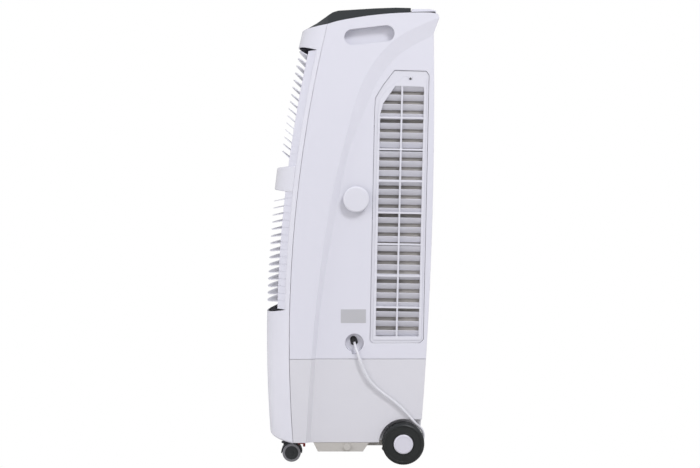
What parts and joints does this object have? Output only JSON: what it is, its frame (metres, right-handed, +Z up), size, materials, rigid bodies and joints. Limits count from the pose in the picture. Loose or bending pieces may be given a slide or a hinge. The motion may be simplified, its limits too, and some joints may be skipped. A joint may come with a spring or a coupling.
{
  "type": "evaporative cooler",
  "caption": "Tall wheeled tower evaporative air cooler with two louvre banks, side intake grilles, a water tank and a top fill lid.",
  "frame": {"origin": "on the floor, under the middle of the casing's bounding box", "axes": "+Z up, the front faces -Y, +X is the side with the cord"},
  "size_m": [0.456, 0.4743, 1.232],
  "materials": {
    "white_casing": "glossy moulded",
    "louvre_white": "satin moulded",
    "louvre_rail": "satin moulded",
    "dark_panel": "glossy dark",
    "grey_moulding": "fine texture",
    "axle_steel": "drawn rod",
    "wheel_rubber": "matt black",
    "caster_black": "matt black",
    "caster_grey": "matt grey",
    "lever_red": "matt red",
    "pad_paper": "corrugated honeycomb",
    "inner_plastic": "moulded",
    "motor_metal": "painted",
    "bush_rubber": "matt",
    "cord_white": "soft PVC"
  },
  "bodies": {
    "casing": {"front_fascia": "white_casing", "mid_band": "white_casing", "side_panels": "white_casing", "rear_panel": "white_casing", "water_tank": "white_casing", "intake_grilles": "white_casing", "cord_winder": "white_casing", "louvre_frame": "louvre_rail", "control_panel": "dark_panel", "base_tray": "grey_moulding", "wheel_axle": "axle_steel", "cooling_pads": "pad_paper", "blower_housing": "inner_plastic", "fan_motor": "motor_metal", "water_pump": "caster_black", "cord_bush": "bush_rubber", "power_cord": "cord_white", "cord_coil": "cord_white", "mains_plug": "cord_white"},
    "upper_louvre_01": {"upper_louvre_01": "louvre_white"},
    "upper_louvre_02": {"upper_louvre_02": "louvre_white"},
    "upper_louvre_03": {"upper_louvre_03": "louvre_white"},
    "upper_louvre_04": {"upper_louvre_04": "louvre_white"},
    "upper_louvre_05": {"upper_louvre_05": "louvre_white"},
    "upper_louvre_06": {"upper_louvre_06": "louvre_white"},
    "upper_louvre_07": {"upper_louvre_07": "louvre_white"},
    "upper_louvre_08": {"upper_louvre_08": "louvre_white"},
    "upper_louvre_09": {"upper_louvre_09": "louvre_white"},
    "upper_louvre_10": {"upper_louvre_10": "louvre_white"},
    "upper_louvre_11": {"upper_louvre_11": "louvre_white"},
    "upper_louvre_12": {"upper_louvre_12": "louvre_white"},
    "upper_louvre_13": {"upper_louvre_13": "louvre_white"},
    "upper_louvre_14": {"upper_louvre_14": "louvre_white"},
    "upper_louvre_15": {"upper_louvre_15": "louvre_white"},
    "lower_louvre_01": {"lower_louvre_01": "louvre_white"},
    "lower_louvre_02": {"lower_louvre_02": "louvre_white"},
    "lower_louvre_03": {"lower_louvre_03": "louvre_white"},
    "lower_louvre_04": {"lower_louvre_04": "louvre_white"},
    "lower_louvre_05": {"lower_louvre_05": "louvre_white"},
    "lower_louvre_06": {"lower_louvre_06": "louvre_white"},
    "lower_louvre_07": {"lower_louvre_07": "louvre_white"},
    "lower_louvre_08": {"lower_louvre_08": "louvre_white"},
    "lower_louvre_09": {"lower_louvre_09": "louvre_white"},
    "lower_louvre_10": {"lower_louvre_10": "louvre_white"},
    "lower_louvre_11": {"lower_louvre_11": "louvre_white"},
    "lower_louvre_12": {"lower_louvre_12": "louvre_white"},
    "lower_louvre_13": {"lower_louvre_13": "louvre_white"},
    "lower_louvre_14": {"lower_louvre_14": "louvre_white"},
    "lower_louvre_15": {"lower_louvre_15": "louvre_white"},
    "fill_lid": {"fill_lid": "white_casing"},
    "blower_impeller": {"blower_impeller": "inner_plastic"},
    "left_rear_wheel": {"left_rear_wheel": "wheel_rubber"},
    "left_caster_fork": {"left_caster_fork": "caster_black"},
    "left_caster_wheels": {"left_caster_wheels": "caster_grey"},
    "left_brake_lever": {"left_brake_lever": "lever_red"},
    "right_rear_wheel": {"right_rear_wheel": "wheel_rubber"},
    "right_caster_fork": {"right_caster_fork": "caster_black"},
    "right_caster_wheels": {"right_caster_wheels": "caster_grey"},
    "right_brake_lever": {"right_brake_lever": "lever_red"},
    "drain_plug": {"drain_plug": "grey_moulding"}
  },
  "joints": [
    {"name": "upper_louvre_01_pivot", "type": "hinge", "parent": "casing", "child": "upper_louvre_01", "pos_m": [0, -0.10595, 1.098], "axis": [1, 0, 0], "range_deg": [-2, 36]},
    {"name": "upper_louvre_02_pivot", "type": "hinge", "parent": "casing", "child": "upper_louvre_02", "pos_m": [0, -0.11021, 1.0781], "axis": [1, 0, 0], "range_deg": [-2, 36]},
    {"name": "upper_louvre_03_pivot", "type": "hinge", "parent": "casing", "child": "upper_louvre_03", "pos_m": [0, -0.11434, 1.0582], "axis": [1, 0, 0], "range_deg": [-2, 36]},
    {"name": "upper_louvre_04_pivot", "type": "hinge", "parent": "casing", "child": "upper_louvre_04", "pos_m": [0, -0.11836, 1.0383], "axis": [1, 0, 0], "range_deg": [-2, 36]},
    {"name": "upper_louvre_05_pivot", "type": "hinge", "parent": "casing", "child": "upper_louvre_05", "pos_m": [0, -0.12227, 1.0184], "axis": [1, 0, 0], "range_deg": [-2, 36]},
    {"name": "upper_louvre_06_pivot", "type": "hinge", "parent": "casing", "child": "upper_louvre_06", "pos_m": [0, -0.12606, 0.9985], "axis": [1, 0, 0], "range_deg": [-2, 36]},
    {"name": "upper_louvre_07_pivot", "type": "hinge", "parent": "casing", "child": "upper_louvre_07", "pos_m": [0, -0.12974, 0.9786], "axis": [1, 0, 0], "range_deg": [-2, 36]},
    {"name": "upper_louvre_08_pivot", "type": "hinge", "parent": "casing", "child": "upper_louvre_08", "pos_m": [0, -0.1333, 0.9587], "axis": [1, 0, 0], "range_deg": [-2, 36]},
    {"name": "upper_louvre_09_pivot", "type": "hinge", "parent": "casing", "child": "upper_louvre_09", "pos_m": [0, -0.13675, 0.9388], "axis": [1, 0, 0], "range_deg": [-2, 36]},
    {"name": "upper_louvre_10_pivot", "type": "hinge", "parent": "casing", "child": "upper_louvre_10", "pos_m": [0, -0.14008, 0.9189], "axis": [1, 0, 0], "range_deg": [-2, 36]},
    {"name": "upper_louvre_11_pivot", "type": "hinge", "parent": "casing", "child": "upper_louvre_11", "pos_m": [0, -0.14331, 0.899], "axis": [1, 0, 0], "range_deg": [-2, 36]},
    {"name": "upper_louvre_12_pivot", "type": "hinge", "parent": "casing", "child": "upper_louvre_12", "pos_m": [0, -0.14642, 0.8791], "axis": [1, 0, 0], "range_deg": [-2, 36]},
    {"name": "upper_louvre_13_pivot", "type": "hinge", "parent": "casing", "child": "upper_louvre_13", "pos_m": [0, -0.14942, 0.8592], "axis": [1, 0, 0], "range_deg": [-2, 36]},
    {"name": "upper_louvre_14_pivot", "type": "hinge", "parent": "casing", "child": "upper_louvre_14", "pos_m": [0, -0.1523, 0.8393], "axis": [1, 0, 0], "range_deg": [-2, 36]},
    {"name": "upper_louvre_15_pivot", "type": "hinge", "parent": "casing", "child": "upper_louvre_15", "pos_m": [0, -0.15508, 0.8194], "axis": [1, 0, 0], "range_deg": [-2, 36]},
    {"name": "lower_louvre_01_pivot", "type": "hinge", "parent": "casing", "child": "lower_louvre_01", "pos_m": [0, -0.16738, 0.719], "axis": [1, 0, 0], "range_deg": [-30, 10]},
    {"name": "lower_louvre_02_pivot", "type": "hinge", "parent": "casing", "child": "lower_louvre_02", "pos_m": [0, -0.16949, 0.6991], "axis": [1, 0, 0], "range_deg": [-30, 10]},
    {"name": "lower_louvre_03_pivot", "type": "hinge", "parent": "casing", "child": "lower_louvre_03", "pos_m": [0, -0.17148, 0.6792], "axis": [1, 0, 0], "range_deg": [-30, 10]},
    {"name": "lower_louvre_04_pivot", "type": "hinge", "parent": "casing", "child": "lower_louvre_04", "pos_m": [0, -0.17337, 0.6593], "axis": [1, 0, 0], "range_deg": [-30, 10]},
    {"name": "lower_louvre_05_pivot", "type": "hinge", "parent": "casing", "child": "lower_louvre_05", "pos_m": [0, -0.17514, 0.6394], "axis": [1, 0, 0], "range_deg": [-30, 10]},
    {"name": "lower_louvre_06_pivot", "type": "hinge", "parent": "casing", "child": "lower_louvre_06", "pos_m": [0, -0.17681, 0.6195], "axis": [1, 0, 0], "range_deg": [-30, 10]},
    {"name": "lower_louvre_07_pivot", "type": "hinge", "parent": "casing", "child": "lower_louvre_07", "pos_m": [0, -0.17836, 0.5996], "axis": [1, 0, 0], "range_deg": [-30, 10]},
    {"name": "lower_louvre_08_pivot", "type": "hinge", "parent": "casing", "child": "lower_louvre_08", "pos_m": [0, -0.17981, 0.5797], "axis": [1, 0, 0], "range_deg": [-30, 10]},
    {"name": "lower_louvre_09_pivot", "type": "hinge", "parent": "casing", "child": "lower_louvre_09", "pos_m": [0, -0.18114, 0.5598], "axis": [1, 0, 0], "range_deg": [-30, 10]},
    {"name": "lower_louvre_10_pivot", "type": "hinge", "parent": "casing", "child": "lower_louvre_10", "pos_m": [0, -0.18237, 0.5399], "axis": [1, 0, 0], "range_deg": [-30, 10]},
    {"name": "lower_louvre_11_pivot", "type": "hinge", "parent": "casing", "child": "lower_louvre_11", "pos_m": [0, -0.18349, 0.52], "axis": [1, 0, 0], "range_deg": [-30, 10]},
    {"name": "lower_louvre_12_pivot", "type": "hinge", "parent": "casing", "child": "lower_louvre_12", "pos_m": [0, -0.1845, 0.5001], "axis": [1, 0, 0], "range_deg": [-30, 10]},
    {"name": "lower_louvre_13_pivot", "type": "hinge", "parent": "casing", "child": "lower_louvre_13", "pos_m": [0, -0.1854, 0.4802], "axis": [1, 0, 0], "range_deg": [-30, 10]},
    {"name": "lower_louvre_14_pivot", "type": "hinge", "parent": "casing", "child": "lower_louvre_14", "pos_m": [0, -0.18619, 0.4603], "axis": [1, 0, 0], "range_deg": [-30, 10]},
    {"name": "lower_louvre_15_pivot", "type": "hinge", "parent": "casing", "child": "lower_louvre_15", "pos_m": [0, -0.18688, 0.4404], "axis": [1, 0, 0], "range_deg": [-30, 10]},
    {"name": "fill_lid_hinge", "type": "hinge", "parent": "casing", "child": "fill_lid", "pos_m": [0, 0.224, 1.222], "axis": [-1, 0, 0], "range_deg": [0, 95]},
    {"name": "blower_spin", "type": "hinge", "parent": "casing", "child": "blower_impeller", "pos_m": [0, 0.02, 0.79], "axis": [1, 0, 0], "continuous": true},
    {"name": "left_rear_wheel_spin", "type": "hinge", "parent": "casing", "child": "left_rear_wheel", "pos_m": [-0.206, 0.1423, 0.057], "axis": [1, 0, 0], "continuous": true},
    {"name": "left_caster_swivel", "type": "hinge", "parent": "casing", "child": "left_caster_fork", "pos_m": [-0.155, -0.1787, 0.06], "axis": [0, 0, 1], "continuous": true},
    {"name": "left_caster_spin", "type": "hinge", "parent": "left_caster_fork", "child": "left_caster_wheels", "pos_m": [-0.155, -0.1612, 0.025], "axis": [1, 0, 0], "continuous": true},
    {"name": "left_brake_press", "type": "hinge", "parent": "left_caster_fork", "child": "left_brake_lever", "pos_m": [-0.155, -0.1422, 0.047], "axis": [-1, 0, 0], "range_deg": [0, 12]},
    {"name": "right_rear_wheel_spin", "type": "hinge", "parent": "casing", "child": "right_rear_wheel", "pos_m": [0.206, 0.1423, 0.057], "axis": [1, 0, 0], "continuous": true},
    {"name": "right_caster_swivel", "type": "hinge", "parent": "casing", "child": "right_caster_fork", "pos_m": [0.155, -0.1787, 0.06], "axis": [0, 0, 1], "continuous": true},
    {"name": "right_caster_spin", "type": "hinge", "parent": "right_caster_fork", "child": "right_caster_wheels", "pos_m": [0.155, -0.1612, 0.025], "axis": [1, 0, 0], "continuous": true},
    {"name": "right_brake_press", "type": "hinge", "parent": "right_caster_fork", "child": "right_brake_lever", "pos_m": [0.155, -0.1422, 0.047], "axis": [-1, 0, 0], "range_deg": [0, 12]},
    {"name": "drain_plug_pull", "type": "slide", "parent": "casing", "child": "drain_plug", "axis": [1, 0, 0], "range_m": [0, 0.014]}
  ],
  "couplings": [
    {"joint": "upper_louvre_02_pivot", "follows": "upper_louvre_01_pivot", "ratio": 1},
    {"joint": "upper_louvre_03_pivot", "follows": "upper_louvre_01_pivot", "ratio": 1},
    {"joint": "upper_louvre_04_pivot", "follows": "upper_louvre_01_pivot", "ratio": 1},
    {"joint": "upper_louvre_05_pivot", "follows": "upper_louvre_01_pivot", "ratio": 1},
    {"joint": "upper_louvre_06_pivot", "follows": "upper_louvre_01_pivot", "ratio": 1},
    {"joint": "upper_louvre_07_pivot", "follows": "upper_louvre_01_pivot", "ratio": 1},
    {"joint": "upper_louvre_08_pivot", "follows": "upper_louvre_01_pivot", "ratio": 1},
    {"joint": "upper_louvre_09_pivot", "follows": "upper_louvre_01_pivot", "ratio": 1},
    {"joint": "upper_louvre_10_pivot", "follows": "upper_louvre_01_pivot", "ratio": 1},
    {"joint": "upper_louvre_11_pivot", "follows": "upper_louvre_01_pivot", "ratio": 1},
    {"joint": "upper_louvre_12_pivot", "follows": "upper_louvre_01_pivot", "ratio": 1},
    {"joint": "upper_louvre_13_pivot", "follows": "upper_louvre_01_pivot", "ratio": 1},
    {"joint": "upper_louvre_14_pivot", "follows": "upper_louvre_01_pivot", "ratio": 1},
    {"joint": "upper_louvre_15_pivot", "follows": "upper_louvre_01_pivot", "ratio": 1},
    {"joint": "lower_louvre_02_pivot", "follows": "lower_louvre_01_pivot", "ratio": 1},
    {"joint": "lower_louvre_03_pivot", "follows": "lower_louvre_01_pivot", "ratio": 1},
    {"joint": "lower_louvre_04_pivot", "follows": "lower_louvre_01_pivot", "ratio": 1},
    {"joint": "lower_louvre_05_pivot", "follows": "lower_louvre_01_pivot", "ratio": 1},
    {"joint": "lower_louvre_06_pivot", "follows": "lower_louvre_01_pivot", "ratio": 1},
    {"joint": "lower_louvre_07_pivot", "follows": "lower_louvre_01_pivot", "ratio": 1},
    {"joint": "lower_louvre_08_pivot", "follows": "lower_louvre_01_pivot", "ratio": 1},
    {"joint": "lower_louvre_09_pivot", "follows": "lower_louvre_01_pivot", "ratio": 1},
    {"joint": "lower_louvre_10_pivot", "follows": "lower_louvre_01_pivot", "ratio": 1},
    {"joint": "lower_louvre_11_pivot", "follows": "lower_louvre_01_pivot", "ratio": 1},
    {"joint": "lower_louvre_12_pivot", "follows": "lower_louvre_01_pivot", "ratio": 1},
    {"joint": "lower_louvre_13_pivot", "follows": "lower_louvre_01_pivot", "ratio": 1},
    {"joint": "lower_louvre_14_pivot", "follows": "lower_louvre_01_pivot", "ratio": 1},
    {"joint": "lower_louvre_15_pivot", "follows": "lower_louvre_01_pivot", "ratio": 1}
  ]
}
